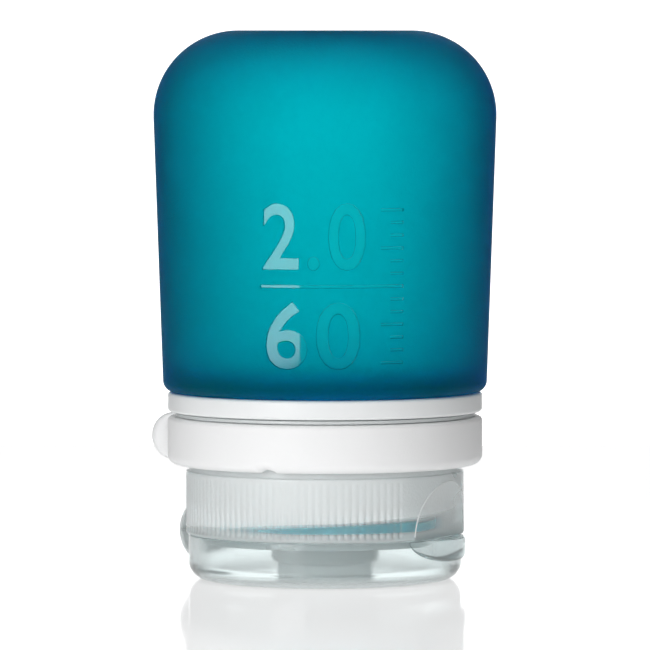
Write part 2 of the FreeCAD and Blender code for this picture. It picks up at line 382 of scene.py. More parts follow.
def clearPlastic(name, clear, milk, tint, density):
    # see-through polypropylene with faint flow waves; the higher a point is marked "frost",
    # the milkier and rougher it is
    material, tree, bsdf = newMaterial(name)
    setInputs(bsdf, {"Base Color": (0.95, 0.98, 0.98, 1), "IOR": 1.49})
    frost = markedValue(tree, "frost")
    waves = objectNoise(tree, 130, 2.0)
    smooth = mapped(tree, waves, 0.3, 0.7, clear * 0.7, clear * 1.3)
    tree.links.new(mathNode(tree, "MULTIPLY_ADD", frost, 0.25, smooth), bsdf.inputs["Roughness"])
    tree.links.new(mapped(tree, frost, 0.0, 1.0, 1.0 - milk, 0.25), bsdf.inputs["Transmission Weight"])
    grain = mathNode(tree, "MULTIPLY", objectNoise(tree, 2600, 2.0), frost)
    addBump(tree, bsdf, mathNode(tree, "MULTIPLY_ADD", waves, 0.4, grain), 0.00005)
    addAbsorption(tree, tint, density)
    return material


bodySilicone = tealSilicone("bodySilicone")
sealSilicone = tealRubber("sealSilicone")
collarWhite = whitePlastic("collarWhite", (0.92, 0.94, 0.945), 0.36, 0.10)
bandWhite = whitePlastic("bandWhite", (0.95, 0.955, 0.96), 0.52, 0.30)
retainerWhite = whitePlastic("retainerWhite", (0.86, 0.88, 0.89), 0.42, 0.15)
capClear = clearPlastic("capClear", 0.09, 0.04, (0.10, 0.75, 0.78), 50)
lidClear = clearPlastic("lidClear", 0.12, 0.03, (0.20, 0.68, 0.70), 35)
valveClear = clearPlastic("valveClear", 0.30, 0.25, (0.40, 0.55, 0.58), 60)
print("materials ready")


# Silicone body with its capacity figures

bodySpec = {
    "mouthRadius": 12.4,
    "sleeveRadius": 14.05,  # part that lines the neck
    "beadRadius": 14.7,
    "beadInset": 2.6,
    "beadLength": 1.6,
    "beadEdge": 0.2,
    "mouthEdge": 0.3,
    "shoulderRadius": 21.05,
    "endRadius": 22.7,
    "shoulderGap": 0.05,
    "wall": 1.8,
    "shoulderRound": 1.5,
    "floorRound": 3.0,  # inside, where the wall runs into the shoulder
    "endRound": 11.0,
    "segments": 240,
}

figureSpec = {
    "rows": (  # text, foot, height, left edge, width
        ("2.0", 40.9, 8.7, -8.2, 13.5),
        ("60", 28.3, 8.8, -7.8, 12.4),
    ),
    "barLow": 38.7,
    "barHeight": 0.5,
    "barLeft": -8.5,
    "barRight": 10.4,
    "spacing": 1.12,  # keeps the numerals apart
    "thicken": 0.022,  # stroke offset of the lettering, in text units
    "depth": 0.22,
    "proud": 0.06,  # the cutter stands this far out of the surface
    "margin": 2.0,  # round the rows, where faces are looked at for polish
    "slope": 0.14,  # the walls lean in by this much towards the floor
    "stripWidth": 0.5,  # flat strips that the figures are bent in
}

tickSpec = {
    "Count": 6,  # above the bar, and as many below it
    "Spacing": 1.62,
    "Long": 3.2,
    "Short": 1.9,
    "Thick": 0.45,
    "Every": 3,  # each third tick is long, counted from the bar
}


def bodyRadius(height):  # outer cone of the body
    foot = collarHigh + bodySpec["shoulderGap"]
    share = (height - foot) / (bodyEnd - foot)
    return bodySpec["shoulderRadius"] + share * (bodySpec["endRadius"] - bodySpec["shoulderRadius"])


def flatFigure(text, foot, height, left, width):
    # one row of numerals as a flat mesh: x along the surface, y upwards, z outwards
    curve = bpy.data.curves.new("figureText", "FONT")
    curve.body = text
    curve.size = 1.0
    curve.space_character = figureSpec["spacing"]
    curve.offset = figureSpec["thicken"]
    curve.extrude = 1.0
    curve.resolution_u = 5
    holder = newObject("figureText", curve)
    data = plainMesh(holder)
    bpy.data.objects.remove(holder)
    lows = [min(v.co[axis] for v in data.vertices) for axis in (0, 1)]
    highs = [max(v.co[axis] for v in data.vertices) for axis in (0, 1)]
    for v in data.vertices:
        v.co.x = left + width * (v.co.x - lows[0]) / (highs[0] - lows[0])
        v.co.y = foot + height * (v.co.y - lows[1]) / (highs[1] - lows[1])
    return data


def ladderTree():
    # upright row of plain graduation ticks, each a thin block
    tree, entry, result = newTree("gradTicks", tickSpec)
    line = tree.nodes.new("GeometryNodeMeshLine")
    block = tree.nodes.new("GeometryNodeMeshCube")
    place = tree.nodes.new("GeometryNodeInstanceOnPoints")
    index = tree.nodes.new("GeometryNodeInputIndex")
    shift = tree.nodes.new("GeometryNodeSetPosition")
    step = mathNode(tree, "MODULO", index.outputs[0], entry["Every"])
    lastShort = mathNode(tree, "SUBTRACT", entry["Every"], 1.5)
    isLong = mathNode(tree, "GREATER_THAN", step, lastShort)
    extra = mathNode(tree, "SUBTRACT", entry["Long"], entry["Short"])
    length = mathNode(tree, "MULTIPLY_ADD", isLong, extra, entry["Short"])
    connect(
        tree,
        (entry["Count"], line.inputs["Count"]),
        (vectorNode(tree, y=entry["Spacing"]), line.inputs["Offset"]),
        (line.outputs["Mesh"], shift.inputs["Geometry"]),
        (vectorNode(tree, mathNode(tree, "MULTIPLY", length, -0.5)), shift.inputs["Offset"]),
        (shift.outputs["Geometry"], place.inputs["Points"]),
        (block.outputs["Mesh"], place.inputs["Instance"]),
        (vectorNode(tree, length, entry["Thick"], 2.0), place.inputs["Scale"]),
    )
    endTree(tree, entry, result, place.outputs["Instances"])
    return tree


def figureCutter():
    # all figures as one flat set of blocks, cut in strips and bent round the body
    s = figureSpec
    work = bmesh.new()
    for row in s["rows"]:
        data = flatFigure(*row)
        work.from_mesh(data)
        bpy.data.meshes.remove(data)
    bar = bmesh.ops.create_cube(work, size=2.0)["verts"]
    for v in bar:
        v.co.x = s["barRight"] if v.co.x > 0 else s["barLeft"]
        v.co.y = s["barLow"] + (s["barHeight"] if v.co.y > 0 else 0)
    tree = ladderTree()
    for spacing in (tickSpec["Spacing"], -tickSpec["Spacing"]):
        ticks = newObject("gradTicks", bpy.data.meshes.new("gradTicks"))
        runTree(ticks, tree, {**tickSpec, "Spacing": spacing}, bodySilicone)
        for v in ticks.data.vertices:
            v.co.x += s["barRight"]
            v.co.y += s["barLow"] + s["barHeight"] / 2 + spacing
        work.from_mesh(ticks.data)
        bpy.data.objects.remove(ticks)
    bmesh.ops.remove_doubles(work, verts=work.verts, dist=1e-4)
    bmesh.ops.recalc_face_normals(work, faces=work.faces)
    for v in work.verts:
        if v.co.z < 0:
            lean = sum((face.normal for face in v.link_faces if abs(face.normal.z) < 0.5), Vector())
            v.co -= lean.normalized() * s["slope"]
    strip = s["barLeft"]
    while strip < s["barRight"]:
        strip += s["stripWidth"]
        everything = list(work.verts) + list(work.edges) + list(work.faces)
        bmesh.ops.bisect_plane(work, geom=everything, dist=1e-5, plane_co=(strip, 0, 0), plane_no=(1, 0, 0))
    for v in work.verts:
        height = v.co.y
        surface = bodyRadius(height)
        turn = -pi / 2 + v.co.x / surface
        radius = surface - s["depth"] + (v.co.z + 1) / 2 * (s["depth"] + s["proud"])
        v.co = Vector((radius * cos(turn), radius * sin(turn), height)) * mm
    return fromMesh("figureCutter", work, bodySilicone)


def makeBody():
    s = bodySpec
    foot = collarHigh + s["shoulderGap"]
    beadLow = bodyMouth + s["beadInset"]
    beadHigh = beadLow + s["beadLength"]
    outline = rounded([
        (s["mouthRadius"], bodyMouth, s["mouthEdge"]),
        (s["sleeveRadius"], bodyMouth, s["mouthEdge"]),
        (s["sleeveRadius"], beadLow, 0),
        (s["beadRadius"], beadLow, s["beadEdge"]),
        (s["beadRadius"], beadHigh, s["beadEdge"]),
        (s["sleeveRadius"], beadHigh, 0),
        (s["sleeveRadius"], foot, 0),
        (s["shoulderRadius"], foot, s["shoulderRound"]),
        (s["endRadius"], bodyEnd, s["endRound"]),
        (0, bodyEnd, 0),
        (0, bodyEnd - s["wall"], 0),
        (s["endRadius"] - s["wall"], bodyEnd - s["wall"], s["endRound"] - s["wall"]),
        (s["shoulderRadius"] - s["wall"], foot + s["wall"], s["floorRound"]),
        (s["mouthRadius"], foot + s["wall"], s["sleeveRadius"] - s["mouthRadius"]),
    ], arcStep=4.0, longest=3.0)
    body = fromMesh("bottleBody", lathe(outline, s["segments"]), bodySilicone)
    combine(body, figureCutter(), "DIFFERENCE")
    data = body.data
    shade(body)
    polish = data.attributes.new("polish", "FLOAT", "FACE")
    smooth = [tuple(corner.vector) for corner in data.corner_normals]
    slope = (s["endRadius"] - s["shoulderRadius"]) / (bodyEnd - foot)
    upper, lower = figureSpec["rows"]
    margin = figureSpec["margin"]
    for face in data.polygons:
        centre = face.center / mm
        flat = hypot(centre.x, centre.y)
        sunk = bodyRadius(centre.z) - flat
        inRows = lower[1] - margin < centre.z < upper[1] + upper[2] + margin
        if not inRows or sunk > 2 * figureSpec["depth"]:
            continue
        polish.data[face.index].value = 1.0 if sunk > 0.3 * figureSpec["depth"] else 0.0
        outward = Vector((centre.x, centre.y, -slope * flat)).normalized()
        if face.normal.dot(outward) > 0.97:
            for loop in face.loop_indices:  # true normals of the cone, free of the strips' facets
                point = data.vertices[data.loops[loop].vertex_index].co
                smooth[loop] = tuple(Vector((point.x, point.y, -slope * point.xy.length)).normalized())
    data.normals_split_custom_set(smooth)
    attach(body, "bottle")
    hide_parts("silicone_body")
    return body


bottleBody = makeBody()
print("body made,", len(bottleBody.data.polygons), "faces")


# Neck collar with its thread

collarSpec = {
    "bore": 14.1,
    "neckRadius": 15.4,
    "flangeRadius": 20.5,
    "flangeHeight": 2.45,
    "grooveRoom": 0.05,  # round the body's bead
    "edge": 0.4,
    "segments": 240,
}

threadSpec = {
    "Neck Radius": 15.4 * mm,
    "Ridge": 0.55 * mm,
    "Pitch": 4.0 * mm,
    "Turns": 2.4,
    "Start": 8.8 * mm,
    "Begin": radians(-146),  # where round the neck it starts
}


def threadTree():
    # round ridge swept along a helix, joined to the neck that it is given
    tree, entry, result = newTree("neckThread", threadSpec)
    helix = tree.nodes.new("GeometryNodeCurveSpiral")
    section = tree.nodes.new("GeometryNodeCurvePrimitiveCircle")
    sweep = tree.nodes.new("GeometryNodeCurveToMesh")
    lift = tree.nodes.new("GeometryNodeTransform")
    join = tree.nodes.new("GeometryNodeJoinGeometry")
    setInputs(helix, {"Resolution": 120, "Reverse": True})
    setInputs(section, {"Resolution": 12})
    setInputs(sweep, {"Fill Caps": True})
    climb = mathNode(tree, "MULTIPLY", entry["Pitch"], entry["Turns"])
    connect(
        tree,
        (entry["Turns"], helix.inputs["Rotations"]),
        (entry["Neck Radius"], helix.inputs["Start Radius"]),
        (entry["Neck Radius"], helix.inputs["End Radius"]),
        (climb, helix.inputs["Height"]),
        (entry["Ridge"], section.inputs["Radius"]),
        (helix.outputs["Curve"], sweep.inputs["Curve"]),
        (section.outputs["Curve"], sweep.inputs["Profile Curve"]),
        (sweep.outputs["Mesh"], lift.inputs["Geometry"]),
        (vectorNode(tree, z=entry["Start"]), lift.inputs["Translation"]),
        (vectorNode(tree, z=entry["Begin"]), lift.inputs["Rotation"]),
        (lift.outputs["Geometry"], join.inputs["Geometry"]),
        (entry["Geometry"], join.inputs["Geometry"]),
    )
    endTree(tree, entry, result, join.outputs["Geometry"])
    return tree


def makeCollar():
    s = collarSpec
    groove = bodySpec["beadRadius"] + s["grooveRoom"]
    grooveLow = bodyMouth + bodySpec["beadInset"] - s["grooveRoom"]
    grooveHigh = grooveLow + bodySpec["beadLength"] + 2 * s["grooveRoom"]
    under = collarHigh - s["flangeHeight"]
    outline = rounded([
        (s["bore"], collarLow, 0.15),
        (s["neckRadius"], collarLow, s["edge"]),
        (s["neckRadius"], under, 0.3),
        (s["flangeRadius"], under, s["edge"]),
        (s["flangeRadius"], collarHigh, s["edge"]),
        (s["bore"], collarHigh, 0),
        (s["bore"], grooveHigh, 0),
        (groove, grooveHigh, 0),
        (groove, grooveLow, 0),
        (s["bore"], grooveLow, 0),
    ], arcStep=10.0)
    collar = fromMesh("neckCollar", lathe(outline, s["segments"]), collarWhite)
    runTree(collar, threadTree(), threadSpec, collarWhite)
    shade(collar)
    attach(collar, "bottle")
    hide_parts("neck_collar")


makeCollar()
print("collar and thread made")


# Screw cap: gripped skirt, band groove, deck and spout

capSpec = {
    "bore": 16.2,
    "skirtRadius": 18.1,
    "skirtLow": 6.0,
    "deckLow": 5.6,
    "deckHigh": 6.7,
    "grooveLow": 14.2,
    "grooveRadius": 17.7,
    "rimRadius": 19.6,
    "rimHeight": 0.45,
    "spigotRadius": 16.2,
    "spigotBore": 15.0,
    "spigotLow": 4.9,
    "spoutRadius": 7.0,
    "pocketRadius": 6.0,
    "pocketLow": 3.4,
    "orificeRadius": 3.2,
    "edge": 0.2,
    "scoopDepth": 1.37,
    "scoopHeight": 7.3,
    "rowHeight": 0.2,  # fine rows let the scoop's arch come out clean
    "segments": 960,
    "lipRadius": 0.09,  # raised line round the scoop
    "lipSteps": 96,
    "lipSides": 8,
    "lipSpan": 0.998,  # it stops just short of the scoop's corners
    "rimFrost": 0.95,  # milkiness of the rim, and of the parts named below
    "ribFrost": 0.9,
    "plainFrost": 0.78,
    "plainFade": 0.2,  # radians over which ribbed turns to plain
    "stripFrost": 0.13,  # clear strip that the washer shows through
    "stripLow": 7.1,
    "stripHigh": 8.3,  # at the front
    "stripRise": 5.0,  # for a whole turn, to the right
    "stripFade": 0.9,
    "stripLeft": radians(-150),  # the strip has closed here, and opens over leftFade
    "leftFade": 0.9,
    "stripRight": radians(-20),
    "rightFade": 0.4,
    "footFrost": 0.62,  # skirt below the strip
    "footFade": 0.8,
    "spoutFrost": 0.8,
    "deckFrost": 0.8,
}

gripSpec = {
    "Count": 120,
    "Depth": 0.19 * mm,
    "Valley": 0.62,  # share of the pitch that a valley takes
    "Low": 6.4 * mm,
    "High": 13.8 * mm,
    "Fade": 0.25 * mm,
    "Upper Low": 8.8 * mm,  # from here up the valleys run out to a share of their depth
    "Upper Rise": 1.6 * mm,
    "Upper Share": 0.27,
    "Skin": 18.0 * mm,  # only points further out than this are pressed in
    "Thumb": thumbTurn,
    "Thumb Plain": radians(29),
    "Hinge Plain": radians(24),
}


def gripTree():
    # upright grip valleys pressed into the skirt, none near the thumb scoop and the hinge
    tree, entry, result = newTree("gripValleys", gripSpec)
    place = tree.nodes.new("GeometryNodeInputPosition")
    split = tree.nodes.new("ShaderNodeSeparateXYZ")
    tree.links.new(place.outputs[0], split.inputs[0])
    x, y, z = split.outputs

    def calc(operation, *values):
        return mathNode(tree, operation, *values)

    radius = calc("SQRT", calc("MULTIPLY_ADD", x, x, calc("MULTIPLY", y, y)))
    turn = calc("SUBTRACT", calc("ARCTAN2", y, x), entry["Thumb"])
    away = calc("ABSOLUTE", calc("WRAP", turn, pi, -pi))
    pitches = calc("DIVIDE", calc("MULTIPLY", turn, entry["Count"]), 2 * pi)
    offCentre = calc("ABSOLUTE", calc("WRAP", pitches, 0.5, -0.5))
    across = calc("DIVIDE", calc("MULTIPLY", offCentre, pi), entry["Valley"])
    valley = calc("MAXIMUM", calc("COSINE", calc("MINIMUM", across, pi / 2)), 0.0)
    above = calc("DIVIDE", calc("SUBTRACT", z, entry["Low"]), entry["Fade"])
    below = calc("DIVIDE", calc("SUBTRACT", entry["High"], z), entry["Fade"])
    inside = calc("MINIMUM", calc("MAXIMUM", calc("MINIMUM", above, below), 0.0), 1.0)
    climb = calc("DIVIDE", calc("SUBTRACT", z, entry["Upper Low"]), entry["Upper Rise"])
    upper = calc("MINIMUM", calc("MAXIMUM", climb, 0.0), 1.0)
    lost = calc("MULTIPLY", upper, calc("SUBTRACT", 1.0, entry["Upper Share"]))
    kept = calc("SUBTRACT", 1.0, lost)
    clearThumb = calc("GREATER_THAN", away, entry["Thumb Plain"])
    clearHinge = calc("LESS_THAN", away, calc("SUBTRACT", pi, entry["Hinge Plain"]))
    outer = calc("GREATER_THAN", radius, entry["Skin"])
    press = calc("MULTIPLY", valley, inside)
    for gate in (kept, clearThumb, clearHinge, outer, entry["Depth"]):
        press = calc("MULTIPLY", press, gate)
    scale = calc("DIVIDE", calc("MULTIPLY", press, -1.0), radius)
    offset = vectorNode(tree, calc("MULTIPLY", scale, x), calc("MULTIPLY", scale, y))
    move = tree.nodes.new("GeometryNodeSetPosition")
    connect(tree, (entry["Geometry"], move.inputs["Geometry"]), (offset, move.inputs["Offset"]))
    endTree(tree, entry, result, move.outputs["Geometry"])
    return tree


scoopRadius = chordRadius(capSpec["scoopHeight"], capSpec["scoopDepth"])
scoopFar = capSpec["skirtRadius"] - capSpec["scoopDepth"] + scoopRadius


def scooped(radius, turn, height):
    # pulls the skirt in to the round face of the thumb scoop
    s = capSpec
    away = cos(turn - thumbTurn)
    rise = height - s["skirtLow"]
    if away < 0.7 or rise < -1e-6 or rise > s["scoopHeight"] or radius < s["bore"] + 0.3:
        return radius
    return min(radius, (scoopFar - sqrt(scoopRadius ** 2 - rise ** 2)) / away)


def addScoopLip(work):
    # fine raised line along the scoop's edge; gives how many points it took
    s = capSpec
    last = s["lipSteps"]
    widest = acos(1 - s["scoopDepth"] / s["skirtRadius"])
    lip = []
    for k in range(last + 1):
        away = widest * sin(pi / 2 * (2 * k / last - 1)) * s["lipSpan"]
        reach = scoopFar - s["skirtRadius"] * cos(away)
        rise = sqrt(max(0.0, scoopRadius ** 2 - reach ** 2))
        outward = Vector((cos(thumbTurn + away), sin(thumbTurn + away), 0))
        lip.append((outward * s["skirtRadius"] + Vector((0, 0, s["skirtLow"] + rise)), outward))
    rings = []
    for k, (point, outward) in enumerate(lip):
        along = (lip[min(k + 1, last)][0] - lip[max(k - 1, 0)][0]).normalized()
        aside = along.cross(outward)
        ring = []
        for side in range(s["lipSides"]):
            bend = 2 * pi * side / s["lipSides"]
            around = outward * cos(bend) + aside * sin(bend)
            ring.append(work.verts.new((point + around * s["lipRadius"]) * mm))
        rings.append(ring)
    cappedSkin(work, rings)
    return len(rings) * s["lipSides"]


def skirtFrost(turn, height):
    # ribbed or plain above, the strip in front of the washer, and the foot below it
    s = capSpec
    away = abs(remainder(turn - thumbTurn, 2 * pi))
    nearThumb = 1 - smoothStep((away - gripSpec["Thumb Plain"]) / s["plainFade"] + 0.5)
    nearHinge = 1 - smoothStep((pi - away - gripSpec["Hinge Plain"]) / s["plainFade"] + 0.5)
    full = s["ribFrost"] + max(nearThumb, nearHinge) * (s["plainFrost"] - s["ribFrost"])
    stripTop = s["stripHigh"] + s["stripRise"] * (turn + pi / 2) / (2 * pi)
    above = smoothStep((height - stripTop) / s["stripFade"] + 0.5)
    below = smoothStep((s["stripLow"] - height) / s["footFade"] + 0.5)
    opened = smoothStep((turn - s["stripLeft"]) / s["leftFade"])
    opened *= smoothStep((s["stripRight"] - turn) / s["rightFade"])
    strip = s["footFrost"] + opened * (s["stripFrost"] - s["footFrost"])
    return strip + above * (full - strip) + below * (s["footFrost"] - strip)


def makeCap():
    s = capSpec
    rimLow = capHigh - s["rimHeight"]
    outline = rounded([
        (s["orificeRadius"], spoutTip, 0.3),
        (s["spoutRadius"], spoutTip, 0.5),
        (s["spoutRadius"], s["deckLow"], 0.3),
        (s["spigotBore"], s["deckLow"], 0.2),
        (s["spigotBore"], s["spigotLow"], s["edge"]),
        (s["spigotRadius"], s["spigotLow"], s["edge"]),
        (s["spigotRadius"], s["skirtLow"], 0),
        (s["skirtRadius"], s["skirtLow"], s["edge"]),
        (s["skirtRadius"], s["grooveLow"], s["edge"]),
        (s["grooveRadius"], s["grooveLow"], 0.15),
        (s["grooveRadius"], rimLow, 0.15),
        (s["rimRadius"], rimLow, 0.12),
        (s["rimRadius"], capHigh, 0.12),
        (s["bore"], capHigh, 0.3),
        (s["bore"], s["deckHigh"], 0.4),
        (s["pocketRadius"], s["deckHigh"], 0.15),
        (s["pocketRadius"], s["pocketLow"], 0.1),
        (s["orificeRadius"], s["pocketLow"], 0.15),
    ], arcStep=45.0)
    rows = []
    for index, point in enumerate(outline):
        rows.append(point)
        following = outline[(index + 1) % len(outline)]
        if max(abs(point.x - s["skirtRadius"]), abs(following.x - s["skirtRadius"])) < 0.01:
            pieces = ceil((following - point).length / s["rowHeight"])
            rows += [point.lerp(following, part / pieces) for part in range(1, pieces)]
    work = lathe(rows, s["segments"], scooped)
    lipPoints = addScoopLip(work)
    cap = fromMesh("screwCap", work, capClear)
    lipStart = len(cap.data.vertices) - lipPoints
    runTree(cap, gripTree(), gripSpec, capClear)
    shade(cap, 50)

    def frostAt(v):
        radius, height = v.co.xy.length / mm, v.co.z / mm
        if v.index >= lipStart or height > s["grooveLow"] + 0.1:
            return s["rimFrost"]
        if radius > s["bore"] + 0.45 and height > s["skirtLow"] - 0.01:
            return skirtFrost(atan2(v.co.y, v.co.x), height)
        if radius < s["spoutRadius"] + 0.1:
            return s["spoutFrost"]
        return s["deckFrost"] if height < s["stripLow"] else 0.0

    markFrost(cap, frostAt)
    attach(cap, "cap")
    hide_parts("screw_cap")
    return cap


screwCap = makeCap()
print("cap made,", len(screwCap.data.polygons), "faces")


# Flip lid with its thumb ledge

lidSpec = {
    "radius": 17.8,
    "bore": 16.5,
    "floor": 0.9,
    "footRound": 2.4,
    "innerRound": 0.9,
    "bossRadius": 6.2,
    "bossBore": 4.7,
    "bossHigh": 2.1,
    "bossFrost": 0.8,
    "footFrost": 0.2,  # most at the flat face's edge, none at the round's upper end
    "edge": 0.15,
    "segments": 320,
}

ledgeSpec = {
    "reach": 1.5,
    "halfWidth": 7.4,
    "drop": 2.95,
    "edge": 0.5,
    "edgeSteps": 6,
    "edgeShare": 0.45,  # of a thin place, the most that the edge takes there
    "topEdge": 0.1,
    "buried": 0.7,
    "span": 0.985,  # it stops just short of its pointed ends
    "columns": 72,
}


def ledgeBlock():
    # crescent under the lid's rim, its back buried in the lid's wall
    s = ledgeSpec
    wall = lidSpec["radius"]
    sagitta = wall - sqrt(wall ** 2 - s["halfWidth"] ** 2)
    plan = chordRadius(s["halfWidth"], sagitta + s["reach"])
    planCentre = wall + s["reach"] - plan
    widest = asin(s["halfWidth"] / wall) * s["span"]
    work = bmesh.new()
    columns = []
    for k in range(s["columns"] + 1):
        away = widest * (2 * k / s["columns"] - 1)
        out = planCentre * cos(away) + sqrt(plan ** 2 - (planCentre * sin(away)) ** 2)
        low = lidHigh - s["drop"] * sqrt(1 - (wall * sin(away) / s["halfWidth"]) ** 2)
        edge = min(s["edge"], s["edgeShare"] * min(out - wall + s["topEdge"], lidHigh - low))
        back = wall - s["buried"]
        turn = thumbTurn + away
        section = [(back, low)]
        for step in range(s["edgeSteps"] + 1):
            bend = pi / 2 * step / s["edgeSteps"]
            section.append((out - edge + edge * sin(bend), low + edge - edge * cos(bend)))
        section += [(out, lidHigh - s["topEdge"]), (out - s["topEdge"], lidHigh), (back, lidHigh)]
        columns.append([work.verts.new(polar(r, turn, h)) for r, h in section])
    cappedSkin(work, columns)
    return fromMesh("thumbLedge", work, lidClear)


def makeLid():
    s = lidSpec
    outline = rounded([
        (0, lidLow, 0),
        (s["radius"], lidLow, s["footRound"]),
        (s["radius"], lidHigh, s["edge"]),
        (s["bore"], lidHigh, s["edge"]),
        (s["bore"], s["floor"], s["innerRound"]),
        (s["bossRadius"], s["floor"], 0.2),
        (s["bossRadius"], s["bossHigh"], 0.2),
        (s["bossBore"], s["bossHigh"], 0.2),
        (s["bossBore"], s["floor"], 0.2),
        (0, s["floor"], 0),
    ], arcStep=6.0)
    lid = fromMesh("flipLid", lathe(outline, s["segments"]), lidClear)
    combine(lid, ledgeBlock(), "UNION")
    shade(lid)

    def frostAt(v):
        radius, height = v.co.xy.length / mm, v.co.z / mm
        if radius < s["bossRadius"] + 0.1 and height > s["floor"] + 0.1:
            return s["bossFrost"]
        if radius > s["bore"] - s["innerRound"]:
            return s["footFrost"] * (1 - smoothStep(height / s["footRound"]))
        return 0.0

    markFrost(lid, frostAt)
    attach(lid, "lid")
    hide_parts("flip_lid")
    return lid


flipLid = makeLid()
print("lid made,", len(flipLid.data.polygons), "faces")


# Film hinge: one bowed strap between cap and lid, thinnest at the fold

strapSpec = {
    "width": 9.4,
    "bulge": 1.1,
    "halfHeight": 2.95,
    "thickness": 0.5,
    "foldThickness": 0.3,
    "foldHalf": 0.45,
    "buried": 17.5,  # radius that the ends reach inside the walls
    "edge": 0.15,
    "rows": 56,
    "bendHalf": 0.9,  # height above and below the fold
    "frost": 0.7,
}


def makeStrap():
    s = strapSpec
    fold = (lidHigh + capSpec["skirtLow"]) / 2
    bow = chordRadius(s["halfHeight"], s["bulge"])
    centre = capSpec["skirtRadius"] + s["bulge"] - bow
    sweep = acos((s["buried"] - centre) / bow)
    half, edge = s["width"] / 2, s["edge"]
    work = bmesh.new()
    rings = []
    for k in range(s["rows"] + 1):
        bend = sweep * (2 * k / s["rows"] - 1)
        rise = bow * sin(bend)
        thin = 1 - smoothStep(abs(rise) / s["foldHalf"])
        thick = s["thickness"] - thin * (s["thickness"] - s["foldThickness"])
        section = ((-half, edge), (-half + edge, 0), (half - edge, 0), (half, edge),
                   (half, thick - edge), (half - edge, thick), (-half + edge, thick), (-half, thick - edge))
        ring = []
        for across, depth in section:
            u = centre + (bow - depth) * cos(bend)
            z = fold + (bow - depth) * sin(bend)
            x = u * cos(hingeTurn) - across * sin(hingeTurn)
            y = u * sin(hingeTurn) + across * cos(hingeTurn)
            ring.append(work.verts.new((x * mm, y * mm, z * mm)))
        rings.append(ring)
    cappedSkin(work, rings)
    strap = fromMesh("filmHinge", work, lidClear)
    shade(strap)
    markFrost(strap, lambda v: s["frost"])
    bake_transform(strap)


makeStrap()
print("film hinge made")


# Sealing washer, slit valve and valve retainer inside the cap

sealSpec = {"inner": 12.5, "outer": 15.9, "edge": 0.2, "segments": 200}
retainerSpec = {"inner": 3.65, "outer": 5.95, "edge": 0.2, "segments": 96}
valveSpec = {
    "flange": 5.95,
    "flangeHeight": 1.35,
    "skinRadius": 3.45,
    "dome": 0.8,
    "domeSteps": 10,
    "skin": 0.6,
    "slitLength": 5.0,
    "slitWidth": 0.12,
    "slitHeight": 6.0,  # of the blade that cuts it, well past the skin
    "segments": 96,
}


def washer(name, spec, low, high, material):
    outline = rounded([
        (spec["inner"], low, spec["edge"]),
        (spec["outer"], low, spec["edge"]),
        (spec["outer"], high, spec["edge"]),
        (spec["inner"], high, spec["edge"]),
    ], arcStep=20.0)
    made = fromMesh(name, lathe(outline, spec["segments"]), material)
    shade(made)
    return made


def makeValve():
    s = valveSpec
    dome = chordRadius(s["skinRadius"], s["dome"])
    centre = valveLow + s["dome"] - dome
    flangeHigh = valveLow + s["flangeHeight"]

    def domePoints(radius):
        stop = asin(s["skinRadius"] / radius)
        bends = [stop * k / s["domeSteps"] for k in range(s["domeSteps"] + 1)]
        return [Vector((radius * sin(bend), centre + radius * cos(bend))) for bend in bends]

    under = domePoints(dome)
    over = domePoints(dome + s["skin"])
    flange = [
        Vector((s["flange"], valveLow)),
        Vector((s["flange"], flangeHigh)),
        Vector((s["skinRadius"], flangeHigh)),
    ]
    valve = fromMesh("slitValve", lathe(under + flange + over[::-1], s["segments"]), valveClear)
    for turn in (thumbTurn, thumbTurn + pi / 2):
        work = bmesh.new()
        for v in bmesh.ops.create_cube(work, size=1.0)["verts"]:
            along, aside = v.co.x * s["slitLength"], v.co.y * s["slitWidth"]
            x = along * cos(turn) - aside * sin(turn)
            y = along * sin(turn) + aside * cos(turn)
            v.co = Vector((x, y, valveLow + v.co.z * s["slitHeight"])) * mm
        combine(valve, fromMesh("slit", work, valveClear), "DIFFERENCE")
    shade(valve)
    return valve


capSeal = washer("capSeal", sealSpec, sealLow, sealHigh, sealSilicone)
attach(capSeal, "seal")
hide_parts("cap_seal")
slitValve = makeValve()
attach(slitValve, "cap")
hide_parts("slit_valve")
valveRetainer = washer("valveRetainer", retainerSpec, retainerLow, retainerHigh, retainerWhite)
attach(valveRetainer, "cap")
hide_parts("valve_retainer")
print("seal, valve and retainer made")


# Loop band with its finger tab

bandSpec = {
    "bore": 18.0,
    "radius": 20.5,
    "lowRound": 1.3,
    "topRound": 0.5,
    "innerRound": 0.3,
    "tabReach": 4.0,
    "tabThickness": 2.6,
    "tabRoot": 3.0,
    "tabSwell": 2.0,  # reach over which the section turns round
    "endSteps": 8,  # of the tab's outline
    "sideSteps": 4,
    "rootSteps": 12,
    "outerSteps": 10,  # of the section's corners
    "innerSteps": 4,
    "notchWidth": 2.6,
    "notchHeight": 0.4,
    "notchSteps": 5,
    "step": 1.5,  # degrees between sections on the plain ring
}


def tabOutline():
    # plan of one half of the tab as (turn, radius): round end, flat side, root that flares to the ring
    s = bandSpec
    half = s["tabThickness"] / 2
    tip = s["radius"] + s["tabReach"]
    rootY = half + s["tabRoot"]
    rootX = sqrt((s["radius"] + s["tabRoot"]) ** 2 - rootY ** 2)
    points = []
    for step in range(s["endSteps"] + 1):
        bend = pi / 2 * step / s["endSteps"]
        points.append((tip - half + half * cos(bend), half * sin(bend)))
    for step in range(1, s["sideSteps"]):
        points.append((tip - half + (rootX - tip + half) * step / s["sideSteps"], half))
    last = atan2(rootY, rootX)
    for step in range(s["rootSteps"] + 1):
        bend = -pi / 2 + (last - pi / 2) * step / s["rootSteps"]
        points.append((rootX + s["tabRoot"] * cos(bend), rootY + s["tabRoot"] * sin(bend)))
    return [(atan2(y, x), hypot(x, y)) for x, y in points]


